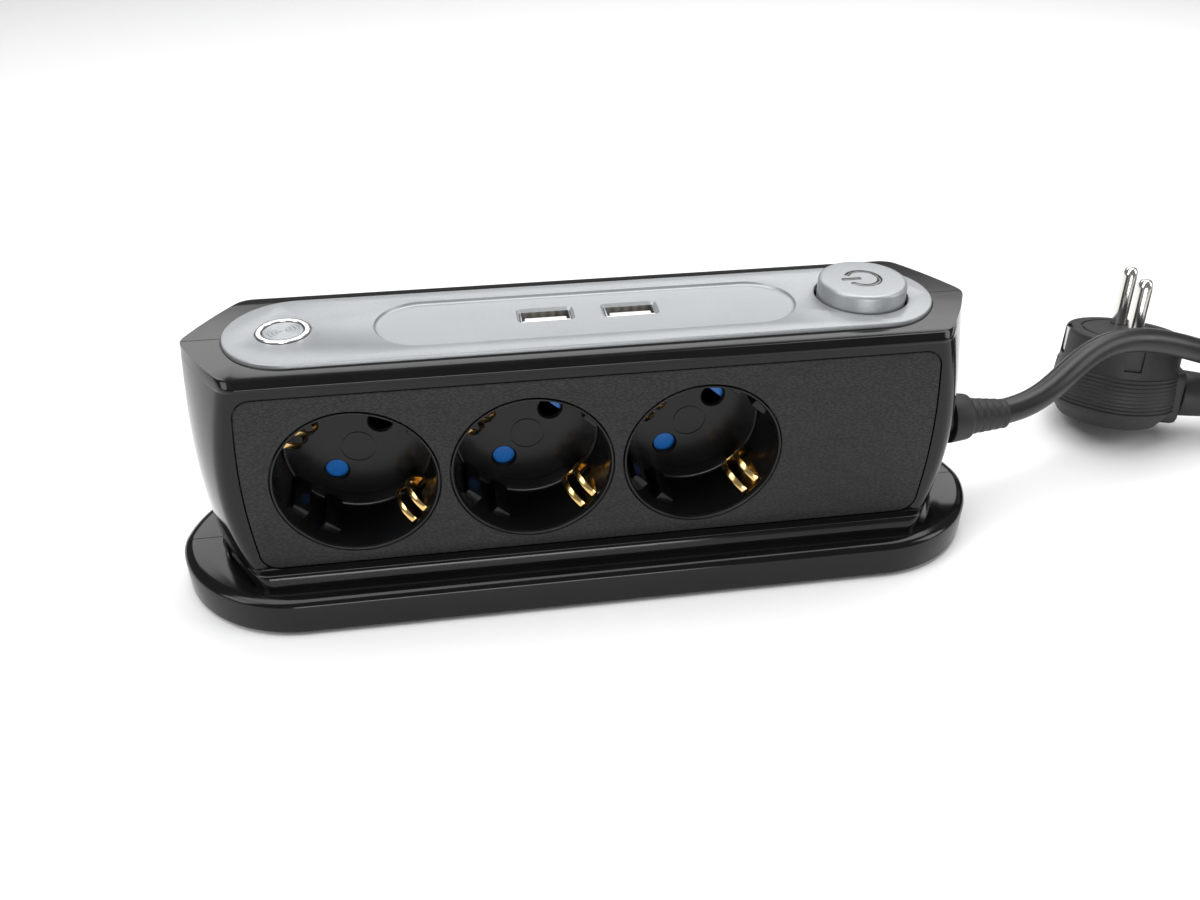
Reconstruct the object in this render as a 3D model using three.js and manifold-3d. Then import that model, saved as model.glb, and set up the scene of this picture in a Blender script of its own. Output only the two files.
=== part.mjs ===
// Desk power strip: three earthed sockets, two USB ports and a push switch in a black two-part
// housing with a silver top plate. Millimetres, +Z up, origin under the middle on the desk.
import * as THREE from 'three';
import { mergeVertices } from 'three/addons/utils/BufferGeometryUtils.js';
import Module from 'manifold-3d';

const wasm = await Module();
wasm.setup();

// Driving dimensions
const gap = 0.3; // clearance kept between neighbouring pieces
const wall = 2.4; // moulded wall thickness
const baseZ = 1.0; // underside of the skirt, lifted by the feet
const skirtWallZ = 9.5; // top of the skirt's upright wall
const skirtTopZ = 11.1;
const skirtHalfDepth = 31;
const skirtStraight = 78; // half length of the skirt's straight sides
const skirtEndRadius = 34;
const bodyTopZ = 71.2;
const faceY = 21.85; // socket face, measured from the parting plane
const lipY = 23.4; // corner of the top lip
const cornerX = 87.2; // end of the lip
const tipX = 101.1; // pointed end of the body
const cornerSwell = 5.4; // how far the face corners swell out at mid height
const tipSwell = 2;
const panelThickness = 1.2;
const panelHalfLength = 86;
const panelSwell = 2.8;
const panelLow = 15.7;
const panelHigh = 65.6;
const socketPitch = 44;
const socketMidX = -17.4;
const socketZ = 39.9;
const socketAngle = THREE.MathUtils.degToRad(48); // line of the pin holes above the horizontal
const cupRadius = 20.6;
const cupBore = 19.7;
const cupDepth = 17.5;
const pinSpread = 9.5; // half of the 19 mm pin spacing
const pinHoleRadius = 2.9;
const plateRadius = 17.4;
const plateHalfLength = 90.8;
const plateTopZ = 72.2;
const plateThickness = 2;
const buttonX = 72.4;
const buttonRadius = 11.5;
const buttonTopZ = 76.6;
const buttonTravel = 3;
const usbX = [-11, 10.9];
const usbY = 1.9;
const badgeX = -76;
const cordRadius = 3.75;
const cordExitZ = 30.6;
const coilRadius = 41; // middle of the cord's turns

const sockets = [-1, 0, 1].map((step) => socketMidX + step * socketPitch);

// Solids and booleans
function solid(geometry) {
  const bare = geometry.clone();
  bare.deleteAttribute('normal');
  bare.deleteAttribute('uv');
  const merged = mergeVertices(bare, 1e-4);
  const source = merged.index.array;
  const corners = [];
  for (let i = 0; i < source.length; i += 3) {
    const [a, b, c] = [source[i], source[i + 1], source[i + 2]];
    if (a !== b && b !== c && c !== a) corners.push(a, b, c);
  }
  const vertProperties = new Float32Array(merged.attributes.position.array);
  const mesh = new wasm.Mesh({ numProp: 3, vertProperties, triVerts: new Uint32Array(corners) });
  const body = new wasm.Manifold(mesh);
  if (body.volume() > 0) return body;
  corners.reverse();
  return new wasm.Manifold(
    new wasm.Mesh({ numProp: 3, vertProperties, triVerts: new Uint32Array(corners) }),
  );
}

function geometryOf(body) {
  const mesh = body.getMesh();
  const geometry = new THREE.BufferGeometry();
  geometry.setAttribute('position', new THREE.BufferAttribute(mesh.vertProperties.slice(), 3));
  geometry.setIndex(new THREE.BufferAttribute(mesh.triVerts.slice(), 1));
  geometry.computeVertexNormals();
  return geometry;
}

function box(x0, x1, y0, y1, z0, z1) {
  const geometry = new THREE.BoxGeometry(x1 - x0, y1 - y0, z1 - z0);
  return geometry.translate((x0 + x1) / 2, (y0 + y1) / 2, (z0 + z1) / 2);
}

function disc(radius, z0, z1, x = 0, y = 0, sides = 32) {
  const geometry = new THREE.CylinderGeometry(radius, radius, z1 - z0, sides);
  return geometry.rotateX(Math.PI / 2).translate(x, y, (z0 + z1) / 2);
}

// A round piece whose axis runs front to back at (x, z)
function rod(radius, y0, y1, x, z, sides = 24) {
  return new THREE.CylinderGeometry(radius, radius, y1 - y0, sides).translate(x, (y0 + y1) / 2, z);
}

function extrude(shape, depth) {
  return new THREE.ExtrudeGeometry(shape, { depth, bevelEnabled: false, curveSegments: 6 });
}

// A plan outline raised from z0 to z1
function upright(shape, z0, z1) {
  return extrude(shape, z1 - z0).translate(0, 0, z0);
}

// An outline drawn in x and z, thick from y0 to y1
function facing(shape, y0, y1) {
  return extrude(shape, y1 - y0).rotateX(Math.PI / 2).translate(0, y1, 0);
}

function polygon(points) {
  return new THREE.Shape(points.map(([x, y]) => new THREE.Vector2(x, y)));
}

function stadium(halfLength, radius, segments) {
  const points = [];
  for (const side of [1, -1]) {
    for (let i = 0; i <= segments; i += 1) {
      const angle = side * (-Math.PI / 2) + (Math.PI * i) / segments;
      const x = side * (halfLength - radius) + radius * Math.cos(angle);
      points.push([x, radius * Math.sin(angle)]);
    }
  }
  return polygon(points);
}

// Stacks outlines of equal point count: an extrusion whose levels are moved to their own outlines
function loft(levels, outlineAt) {
  const first = outlineAt(levels[0]);
  const geometry = new THREE.ExtrudeGeometry(polygon(first), {
    depth: levels.length - 1,
    steps: levels.length - 1,
    bevelEnabled: false,
  });
  const place = geometry.attributes.position;
  for (let i = 0; i < place.count; i += 1) {
    const level = levels[Math.round(place.getZ(i))];
    const distance = ([x, y]) => Math.hypot(x - place.getX(i), y - place.getY(i));
    const nearest = first.reduce((best, point, index) => {
      return distance(point) < distance(first[best]) ? index : best;
    }, 0);
    const [x, y] = outlineAt(level)[nearest];
    place.setXYZ(i, x, y, level.z);
  }
  return geometry;
}

// Housing outlines
function swellAt(z) {
  const drop = (bodyTopZ - z) / (bodyTopZ - skirtTopZ);
  return Math.sin(Math.PI * 0.92 * THREE.MathUtils.clamp(drop, 0, 1.05));
}

// Plan of the body at one height: flat long sides, gently rounded facets, pointed ends
function bodyOutline({ z, front, inset = 0 }) {
  const slope = (tipX - cornerX) / lipY;
  const swell = swellAt(z);
  const y = front - inset;
  const corner = cornerX + (lipY - front) * slope + cornerSwell * swell - inset * 0.5;
  const tip = tipX + tipSwell * swell - inset * 1.15;
  const bow = 0.7 + 0.5 * swell;
  const quarter = [];
  const cuts = 4;
  for (let i = 0; i <= cuts; i += 1) {
    const t = i / cuts;
    const out = bow * 4 * t * (1 - t);
    quarter.push([corner + (tip - corner) * t + out * 0.86, -y * (1 - t) - out * 0.5]);
  }
  const right = [...quarter, ...quarter.slice(0, -1).reverse().map(([px, py]) => [px, -py])];
  return [...right, ...right.map(([px, py]) => [-px, -py])];
}

const bodyProfile = [
  { z: 8.6, front: 25.3 },
  { z: 11.1, front: 25.3 },
  { z: 12.9, front: 25.1 },
  { z: 15, front: 24.5 },
  { z: 15.3, front: faceY },
  ...[21, 27, 33, 39, 45, 51, 57, 63].map((z) => ({ z, front: faceY })),
  { z: 68.3, front: faceY },
  { z: 68.6, front: 23.2 },
  { z: 69.8, front: lipY },
  { z: bodyTopZ, front: 21.7 },
];

const cavityProfile = [
  { z: -1, front: faceY, inset: wall },
  { z: 5, front: faceY, inset: wall },
  ...[15, 27, 39, 51, 63].map((z) => ({ z, front: faceY, inset: wall })),
  { z: bodyTopZ - wall - 1, front: faceY, inset: wall },
];

// Plan of the skirt: straight sides and round ends that meet in a soft point
function skirtOutline({ inset }) {
  const radius = skirtEndRadius - inset;
  const rise = skirtEndRadius - skirtHalfDepth;
  const reach = Math.acos(rise / radius);
  const quarter = [];
  const cuts = 9;
  for (let i = 0; i <= cuts; i += 1) {
    const turn = (reach * i) / cuts;
    quarter.push([skirtStraight + radius * Math.sin(turn), rise - radius * Math.cos(turn)]);
  }
  const right = [...quarter, ...quarter.slice(0, -1).reverse().map(([x, y]) => [x, -y])];
  return [...right, ...right.map(([x, y]) => [-x, -y])];
}

function skirtBlock(levels) {
  return loft(levels, skirtOutline);
}

// Outline of the textured panels, in x and z, their short sides swelling with the housing
function panelShape(grow) {
  const half = panelHalfLength + grow;
  const low = panelLow - grow;
  const high = panelHigh + grow;
  const radius = 4 + grow;
  const points = [];
  const corner = (x, z, start) => {
    for (let i = 0; i <= 4; i += 1) {
      const angle = start + (Math.PI / 2) * (i / 4);
      points.push([x + radius * Math.cos(angle), z + radius * Math.sin(angle)]);
    }
  };
  const sides = [24, 33, 42, 51];
  corner(half - radius, low + radius, -Math.PI / 2);
  sides.forEach((z) => points.push([half, z]));
  corner(half - radius, high - radius, 0);
  corner(-half + radius, high - radius, Math.PI / 2);
  [...sides].reverse().forEach((z) => points.push([-half, z]));
  corner(-half + radius, low + radius, Math.PI);
  return polygon(points.map(([x, z]) => {
    const share = THREE.MathUtils.smoothstep(Math.abs(x), 60, half);
    return [x + Math.sign(x) * panelSwell * swellAt(z) * share, z];
  }));
}

// Places something drawn around one socket's axis: turn follows the line of the pin holes
function atSocket(geometry, x, turn = 0) {
  return geometry.rotateY(-turn).translate(x, 0, socketZ);
}

// The crescent between the rim of the skirt and the pointed end of the body
function endRecess(side) {
  const shape = new THREE.Shape();
  shape.moveTo(side * 90, -24.4).quadraticCurveTo(side * 101.8, -17, side * 106.2, 0);
  shape.quadraticCurveTo(side * 101.8, 17, side * 90, 24.4).lineTo(side * 84, 0);
  return shape;
}

function makeHousing() {
  const body = solid(loft(bodyProfile, bodyOutline));
  const skirt = solid(skirtBlock([
    { z: baseZ, inset: 0 },
    { z: skirtWallZ, inset: 0 },
    { z: 10.5, inset: 1 },
    { z: skirtTopZ, inset: 2.8 },
  ]));
  let shell = skirt;
  for (const side of [-1, 1]) {
    shell = shell.subtract(solid(upright(endRecess(side), skirtTopZ - 3, skirtTopZ + 1)));
  }
  shell = shell.add(body);
  shell = shell.subtract(solid(loft(cavityProfile, bodyOutline)));
  shell = shell.subtract(solid(skirtBlock([{ z: -1, inset: wall }, { z: 6, inset: wall }])));
  // seat, ports and switch hole in the top
  const seat = upright(stadium(plateHalfLength + gap, plateRadius + gap, 16), bodyTopZ - 1.3, 80);
  shell = shell.subtract(solid(seat));
  shell = shell.subtract(solid(disc(buttonRadius + 0.9, 60, 80, buttonX, 0, 36)));
  for (const x of usbX) {
    shell = shell.subtract(solid(box(x - 7, x + 7, usbY - 3.4, usbY + 3.4, 60, 80)));
  }
  // panel seats front and rear, and the socket holes
  const depth = panelThickness + gap;
  shell = shell.subtract(solid(facing(panelShape(gap), -faceY - 1, -faceY + depth)));
  shell = shell.subtract(solid(facing(panelShape(gap), faceY - depth, faceY + 1)));
  for (const x of sockets) {
    shell = shell.subtract(solid(rod(cupRadius + gap, -30, -10, x, socketZ, 40)));
  }
  for (const [x, y] of coverScrews) shell = shell.subtract(solid(disc(1.8, 5, 8, x, y, 12)));
  // cord outlet in the right-hand end, half in each shell
  const outlet = disc(5.3, 90, 120, 0, 0, 20).rotateY(Math.PI / 2).translate(0, 0, cordExitZ);
  return shell.subtract(solid(outlet));
}

const coverScrews = [[-60, -24], [60, -24], [-60, 24], [60, 24]];
// Screw posts that join the two shells, at (x, z)
const posts = [[-87, 26], [-87, 56], [87, 56], [82, 19.5]];

// Materials
function finish(color, roughness, metalness = 0) {
  return new THREE.MeshStandardMaterial({ color, roughness, metalness });
}
const glossBlack = finish(0x0b0c0d, 0.16);
const grainBlack = finish(0x2a2b2e, 0.6);
const cupBlack = finish(0x0d0e10, 0.3);
const silver = finish(0xb9bfc3, 0.38, 0.6);
const chrome = finish(0xd8dadc, 0.1, 1);
const brass = finish(0xc79a45, 0.25, 1);
const blue = finish(0x155fa8, 0.4);
const cordBlack = finish(0x121314, 0.5);
const rubber = finish(0x1a1a1a, 0.85);
const steel = finish(0xb0b3b6, 0.3, 1);
const paleTongue = finish(0xe9e5dc, 0.5);
const board = finish(0x1f5c36, 0.5);
const ivory = finish(0xcfc8b4, 0.55);

const powerStrip = new THREE.Group();

function add(name, piece, material, parent = powerStrip) {
  const geometry = piece.isBufferGeometry ? piece : geometryOf(piece);
  const mesh = new THREE.Mesh(geometry, material);
  mesh.name = name;
  parent.add(mesh);
  return mesh;
}

function addShells() {
  const housing = makeHousing();
  for (const [name, side] of [['front_shell', -1], ['rear_shell', 1]]) {
    const near = side < 0 ? -60 : gap / 2;
    let half = housing.intersect(solid(box(-150, 150, near, near + 60 - gap / 2, -5, 90)));
    for (const [x, z] of posts) {
      const [y0, y1] = side < 0 ? [-19.9, -gap / 2] : [gap / 2, 19.9];
      half = half.add(solid(rod(3.6, y0, y1, x, z, 14)));
      half = half.subtract(solid(side < 0 ? rod(1.5, -14, 1, x, z, 12) : rod(1.8, -1, 30, x, z, 12)));
      if (side > 0) half = half.subtract(solid(rod(2.7, 18.4, 30, x, z, 12)));
    }
    add(name, half, glossBlack);
  }
  posts.forEach(([x, z], i) => {
    const screw = solid(rod(1.2, -12, 19, x, z, 12)).add(solid(rod(2.4, 18.7, 20.1, x, z, 16)));
    add(`housing_screw_${i + 1}`, screw.subtract(solid(box(x - 1.8, x + 1.8, 19.6, 21, z - 0.3, z + 0.3))),
      steel);
  });
}

function addCover() {
  let cover = solid(skirtBlock([{ z: baseZ, inset: wall + gap }, { z: 3.2, inset: wall + gap }]));
  const feet = [[-80, -18], [80, -18], [-80, 18], [80, 18]];
  for (const [x, y] of feet) cover = cover.subtract(solid(disc(6.3, 0, 2.2, x, y, 20)));
  for (const [x, y] of coverScrews) {
    cover = cover.subtract(solid(disc(3.3, 0, 2, x, y, 16)));
    cover = cover.subtract(solid(disc(1.8, 0, 5, x, y, 16)));
  }
  add('bottom_cover', cover, grainBlack);
  feet.forEach(([x, y], i) => {
    const profile = [[0, 0], [5.2, 0], [6, 0.8], [6, 1.9], [0, 1.9]];
    const foot = new THREE.LatheGeometry(profile.map(([r, z]) => new THREE.Vector2(r, z)), 20);
    add(`foot_${i + 1}`, solid(foot.rotateX(Math.PI / 2).translate(x, y, 0)), rubber);
  });
  coverScrews.forEach(([x, y], i) => {
    let screw = solid(disc(2.9, 1.1, 1.7, x, y, 16)).add(solid(disc(1.45, 1.5, 7.6, x, y, 12)));
    for (const turn of [0, 1]) {
      const slot = box(-1.7, 1.7, -0.35, 0.35, 0, 1.4).rotateZ((turn * Math.PI) / 2);
      screw = screw.subtract(solid(slot.translate(x, y, 0)));
    }
    add(`cover_screw_${i + 1}`, screw, steel);
  });
}

function addPanels() {
  let front = solid(facing(panelShape(0), -faceY, -faceY + panelThickness));
  for (const x of sockets) {
    front = front.subtract(solid(rod(cupRadius + gap, -30, -10, x, socketZ, 40)));
  }
  add('front_panel', front, grainBlack);
  add('rear_panel', solid(facing(panelShape(0), faceY - panelThickness, faceY)), grainBlack);
}

function addTopPlate() {
  const low = plateTopZ - plateThickness;
  let plate = solid(upright(stadium(plateHalfLength, plateRadius, 16), low, plateTopZ));
  const tray = stadium(54, 12, 12);
  plate = plate.subtract(solid(upright(tray, plateTopZ - 1, plateTopZ + 1)));
  plate = plate.subtract(solid(disc(buttonRadius + 0.7, 60, 80, buttonX, 0, 36)));
  plate = plate.subtract(solid(disc(6.9, plateTopZ - 0.8, 80, badgeX, 0, 28)));
  for (const x of usbX) {
    plate = plate.subtract(solid(box(x - 7, x + 7, usbY - 3.4, usbY + 3.4, 60, 80)));
  }
  add('top_plate', plate, silver);
  const ring = solid(disc(6.6, plateTopZ - 0.5, plateTopZ + 0.4, badgeX, 0, 28));
  add('badge_ring', ring.subtract(solid(disc(5.2, 60, 80, badgeX, 0, 24))), chrome);
  add('badge_disc', disc(4.9, plateTopZ - 0.5, plateTopZ + 0.1, badgeX, 0, 24), silver);
}

function addButton() {
  const profile = [[0, 74.2], [0, buttonTopZ], [10.7, buttonTopZ], [11.3, 76.3], [11.5, 75.8],
    [11.5, 66.6], [10.1, 66.6], [10.1, 74.2], [0, 74.2]];
  const outline = profile.map(([r, z]) => new THREE.Vector2(r, z));
  let cap = solid(new THREE.LatheGeometry(outline, 36).rotateX(Math.PI / 2).translate(buttonX, 0, 0));
  const opening = 0.55; // half the gap in the ring, in radians
  const ringAt = (grow, z0, z1) => {
    const shape = new THREE.Shape();
    shape.absarc(0, 0, 4.8 + grow, opening - grow / 4, Math.PI * 2 - opening + grow / 4, false);
    shape.absarc(0, 0, 3.8 - grow, Math.PI * 2 - opening + grow / 4, opening - grow / 4, true);
    return upright(shape, z0, z1).rotateZ(Math.PI).translate(buttonX, 0, 0);
  };
  const barAt = (grow, z0, z1) => {
    return box(buttonX - 5.6 - grow, buttonX - 0.8 + grow, -0.5 - grow, 0.5 + grow, z0, z1);
  };
  cap = cap.subtract(solid(ringAt(gap, buttonTopZ - 0.7, 80)));
  cap = cap.subtract(solid(barAt(gap, buttonTopZ - 0.7, 80)));
  add('button_cap', cap, silver);
  add('button_symbol_ring', solid(ringAt(0, buttonTopZ - 0.4, buttonTopZ + 0.1)), chrome);
  add('button_symbol_bar', barAt(0, buttonTopZ - 0.4, buttonTopZ + 0.1), chrome);
}


// Push switch under the button: plunger, return spring and switch block
const switchTopZ = 56;

function addSwitch() {
  const stem = [[0, 50.5], [2.5, 50.5], [2.5, 73.9], [0, 73.9]].map(([r, z]) => new THREE.Vector2(r, z));
  const plunger = new THREE.LatheGeometry(stem, 16).rotateX(Math.PI / 2).translate(buttonX, 0, 0);
  add('button_plunger', solid(plunger), ivory);
  const coil = [[3.3, switchTopZ + gap], [4.5, switchTopZ + gap], [4.5, 73.6], [3.3, 73.6],
    [3.3, switchTopZ + gap]].map(([r, z]) => new THREE.Vector2(r, z));
  const spring = new THREE.LatheGeometry(coil, 16).rotateX(Math.PI / 2).translate(buttonX, 0, 0);
  add('button_spring', solid(spring), steel);
  const block = solid(box(buttonX - 9, buttonX + 9, -9, 9, 38, switchTopZ));
  add('switch_body', block.subtract(solid(disc(3, 45, 60, buttonX, 0, 16))), ivory);
}

// Pieces of one socket, drawn around its axis and then turned to the line of the pin holes
function cupProfile() {
  const front = -faceY;
  const floor = front + cupDepth;
  return [[0, floor], [cupBore - 0.4, floor], [cupBore, front + 0.8], [20.1, front - 0.1],
    [cupRadius, front - 0.1], [cupRadius, -19.1], [21.7, -19.1], [21.7, -17.8], [cupRadius, -17.8],
    [cupRadius, floor + 1.2], [0, floor + 1.2]];
}

function addSocket(x, number) {
  const floor = -faceY + cupDepth;
  const profile = cupProfile().map(([r, y]) => new THREE.Vector2(r, y));
  let cup = solid(new THREE.LatheGeometry(profile, 36));
  for (const end of [-1, 1]) {
    // two guide ribs beside the channel in line with the pins
    for (const flank of [-1, 1]) {
      const [z0, z1] = flank < 0 ? [-7.2, -2.4] : [2.4, 7.2];
      const rib = box(end < 0 ? -20.1 : 16.9, end < 0 ? -16.9 : 20.1, -17.2, floor + 0.5, z0, z1);
      cup = cup.add(solid(rib).intersect(solid(rod(20.2, -30, 0, 0, 0, 36))));
    }
    cup = cup.subtract(solid(rod(pinHoleRadius, -30, 10, end * pinSpread, 0, 20)));
    // slot in the side wall for the earth contact
    cup = cup.subtract(solid(box(-3.3, 3.3, -20.4, floor - 0.8, end < 0 ? -25 : 17, end < 0 ? -17 : 25)));
  }
  cup = solid(atSocket(geometryOf(cup), x, socketAngle));
  add(`socket_cup_${number}`, cup, cupBlack);

  // rotating shutter: one bar that covers both pin holes, on the retainer's post
  const bar = solid(facing(stadium(pinSpread + 3.4, 3.4, 10), floor + 1.5, floor + 3.1));
  const shutter = bar.subtract(solid(rod(2.1, -10, 10, 0, 0, 16)));
  add(`shutter_${number}`, solid(atSocket(geometryOf(shutter), x, socketAngle)), blue);

  let retainer = solid(rod(18, floor + 4.2, floor + 5.7, 0, 0, 24));
  retainer = retainer.add(solid(rod(1.8, floor + 1.6, floor + 5, 0, 0, 16)));
  for (const end of [-1, 1]) {
    retainer = retainer.subtract(solid(rod(3.8, -10, 10, end * pinSpread, 0, 16)));
  }
  add(`socket_retainer_${number}`, solid(atSocket(geometryOf(retainer), x, socketAngle)), ivory);
  add(`earth_clip_${number}`, solid(atSocket(geometryOf(earthClip()), x, socketAngle)), brass);
}

// Sprung earth contact: a strap behind the cup whose two arms hook back into the side slots
function earthClip() {
  const thickness = 0.6;
  const spine = [[21.3, 16.3], [21.3, -17.4], [20.9, -18.5], [19.8, -18.9], [18.3, -18.3], [16.3, -16.8],
    [14.7, -14.6], [14, -12.2], [14.6, -9.8], [16.4, -7.8], [18.4, -6.6]];
  const outer = [];
  const inner = [];
  spine.forEach(([r, y], i) => {
    const [ra, ya] = spine[Math.max(i - 1, 0)];
    const [rb, yb] = spine[Math.min(i + 1, spine.length - 1)];
    const long = Math.hypot(rb - ra, yb - ya);
    const [nr, ny] = [(yb - ya) / long, (ra - rb) / long];
    outer.push([r + (nr * thickness) / 2, y + (ny * thickness) / 2]);
    inner.push([r - (nr * thickness) / 2, y - (ny * thickness) / 2]);
  });
  const arm = extrude(polygon([...outer, ...inner.reverse()]), 6).translate(0, 0, -3);
  // the arm's outline lies in radius and depth: turn it so that radius runs up, and split it into two fingers
  const upper = solid(arm.clone().rotateY(-Math.PI / 2)).subtract(solid(box(-1.4, 1.4, -17.8, -7.9, 12, 19.6)));
  const lower = solid(arm.clone().rotateY(Math.PI / 2)).subtract(solid(box(-1.4, 1.4, -17.8, -7.9, -19.6, -12)));
  return upper.add(lower).add(solid(box(-2, 2, 16, 16.6, -21.6, 21.6)));
}

function addRails() {
  const rise = pinSpread * Math.sin(socketAngle);
  const shift = pinSpread * Math.cos(socketAngle);
  for (const [name, sign] of [['live_rail', 1], ['neutral_rail', -1]]) {
    const z = socketZ + sign * rise;
    const reach = [sockets[0] + sign * shift - 4, sockets[2] + sign * shift + 4];
    let rail = solid(box(reach[0], reach[1], 12, 13, z - 3, z + 3));
    for (const x of sockets) rail = rail.add(solid(rod(3.3, 1.7, 12.5, x + sign * shift, z, 16)));
    for (const x of sockets) rail = rail.subtract(solid(rod(2.5, 0, 20, x + sign * shift, z, 16)));
    add(name, rail, brass);
  }
  const reach = 6;
  add('earth_rail', box(sockets[0] - reach, sockets[2] + reach, 16.9, 17.7, socketZ - 3, socketZ + 3), brass);
}

function addUsb() {
  usbX.forEach((x, i) => {
    const [low, high] = [58.6, 70.8];
    const outer = solid(box(x - 6.55, x + 6.55, usbY - 2.85, usbY + 2.85, low, high));
    const bore = solid(box(x - 6.15, x + 6.15, usbY - 2.45, usbY + 2.45, low - 1, high + 1));
    add(`usb_shell_${i + 1}`, outer.subtract(bore), chrome);
    const foot = solid(box(x - 5.8, x + 5.8, usbY - 2.15, usbY + 2.1, low, low + 1.8));
    const tongue = solid(box(x - 5.4, x + 5.4, usbY - 2.15, usbY - 0.3, low + 1, high - 0.2));
    add(`usb_tongue_${i + 1}`, foot.add(tongue), paleTongue);
  });
  add('usb_board', box(-26, 26, 8, 9.6, 58.2, 67.3), board);
  add('usb_transformer', box(-7, 7, 9.9, 17.5, 58.6, 66.6), finish(0xc9b23a, 0.6));
  add('usb_capacitor', rod(3.6, 9.9, 18, 15, 62.6, 20), finish(0x2d3a6b, 0.4));
}

// Cord: outlet, lead to the tied coil, and the short run from the coil to the plug
function alongX(profile, segments) {
  const points = profile.map(([x, r]) => new THREE.Vector2(r, x));
  return new THREE.LatheGeometry(points, segments).rotateZ(-Math.PI / 2);
}

function tube(points, steps) {
  const curve = new THREE.CatmullRomCurve3(points.map(([x, y, z]) => new THREE.Vector3(x, y, z)));
  const section = new THREE.Shape();
  const sides = 10;
  for (let i = 0; i < sides; i += 1) {
    const angle = (Math.PI * 2 * i) / sides;
    const [x, y] = [cordRadius * Math.cos(angle), cordRadius * Math.sin(angle)];
    if (i === 0) section.moveTo(x, y);
    else section.lineTo(x, y);
  }
  return new THREE.ExtrudeGeometry(section, { steps, extrudePath: curve, bevelEnabled: false });
}

const plugPlace = { x: 183, y: 39, z: 33, yaw: -21, roll: 12 };
const coilCentre = [301, 3];
const leadPoints = [[122.5, 0, 30.6], [128, 0.5, 31.1], [134, 2.4, 33.3], [140.5, 5.8, 36.7], [147.5, 10, 40.2],
  [156, 13.8, 42.7], [166, 16.5, 43], [176, 17.6, 41.6], [187, 18.2, 38.4], [198, 19.6, 34.1],
  [210, 23.6, 28.6], [218, 27.6, 24.2], [226, 31.2, 18.4], [234, 33.4, 12.6], [242, 34.6, 8], [250, 35.4, 5.2],
  [258, 36.2, 3.95]];
const plugEndPoints = [[232.2, 15.9, 14.42], [236.4, 14.2, 14.5], [241, 11, 14.9], [245, 7, 15.6], [248.2, 3, 16.3]];
function addCord() {
  const relief = [[94.2, 0], [94.2, 7.2], [97.4, 7.2], [97.4, 4.9], [104.4, 4.9], [104.4, 7.4], [110.8, 6.2],
    [111.2, 5.3], [116.9, 5.1], [117.4, 4.4], [122, 4.1], [122, 0]];
  add('strain_relief', solid(alongX(relief, 20).translate(0, 0, cordExitZ)), rubber);
  add('supply_cord', solid(tube(leadPoints, 30)), cordBlack);
  add('cord_plug_end', solid(tube(plugEndPoints, 4)), cordBlack);
  const [across, high] = [cordRadius * 2, 26];
  const ring = [[coilRadius - across, 0.2], [coilRadius + across, 0.2], [coilRadius + across, high],
    [coilRadius - across, high], [coilRadius - across, 0.2]];
  const turns = new THREE.LatheGeometry(ring.map(([r, z]) => new THREE.Vector2(r, z)), 40);
  add('cord_coil', solid(turns.rotateX(Math.PI / 2).translate(coilCentre[0], coilCentre[1], 0)), cordBlack);
}

// Angled plug on its back: local +X is the cord side, +Z the pins, origin at the middle of the face
function addPlug() {
  const plug = new THREE.Group();
  plug.rotation.set(THREE.MathUtils.degToRad(-plugPlace.roll), 0, THREE.MathUtils.degToRad(plugPlace.yaw), 'ZYX');
  plug.position.set(plugPlace.x, plugPlace.y, plugPlace.z);
  powerStrip.add(plug);
  const profile = [[0, 0], [17.2, 0], [17.9, -0.8], [18.2, -13], [19.4, -18], [19, -24], [15, -29.4], [0, -29.4]];
  let body = solid(new THREE.LatheGeometry(profile.map(([r, z]) => new THREE.Vector2(r, z)), 28)
    .rotateX(Math.PI / 2));
  body = body.add(solid(box(4, 19.6, -8.4, 8.4, -28, -10)));
  for (const side of [-1, 1]) {
    body = body.subtract(solid(disc(2.6, -3, 1, 0, side * pinSpread, 16)));
    body = body.subtract(solid(box(side < 0 ? -25 : 16.4, side < 0 ? -16.4 : 25, -2.4, 2.4, -9, 2)));
    body = body.subtract(solid(box(-2.6, 2.6, side < 0 ? -25 : 17, side < 0 ? -17 : 25, -9, 2)));
  }
  add('plug_body', body, cordBlack, plug);
  const taper = [[19.9, 0], [19.9, 7.6], [24, 7.4], [50, 5], [53.6, 4.4], [53.6, 0]];
  let tail = solid(alongX(taper, 20).translate(0, 0, -19));
  for (let x = 27; x < 48; x += 4.4) {
    for (const side of [-1, 1]) {
      tail = tail.subtract(solid(box(x, x + 1.6, side < 0 ? -12 : 4.2, side < 0 ? -4.2 : 12, -22.4, -15.6)));
    }
  }
  add('plug_tail', tail, rubber, plug);
  for (const side of [-1, 1]) {
    const number = side < 0 ? 1 : 2;
    const pin = [[0, -2.6], [2.4, -2.6], [2.4, 17.4], [1.6, 18.7], [0, 19]].map(([r, z]) => new THREE.Vector2(r, z));
    const round = new THREE.LatheGeometry(pin, 16).rotateX(Math.PI / 2).translate(0, side * pinSpread, 0);
    add(`plug_pin_${number}`, solid(round), chrome, plug);
    const x = side * 16.7;
    const strip = box(Math.min(x, x + side * 0.9), Math.max(x, x + side * 0.9), -2, 2, -8.4, -0.6);
    add(`plug_earth_contact_${number}`, strip, steel, plug);
  }
}

addShells();
addCover();
addPanels();
addTopPlate();
addButton();
addSwitch();
sockets.forEach((x, i) => addSocket(x, i + 1));
addRails();
addUsb();
addCord();
addPlug();

export default powerStrip;
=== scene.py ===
import bpy
import bmesh
import math
from mathutils import Matrix, Vector
from mathutils.geometry import convex_hull_2d


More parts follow.
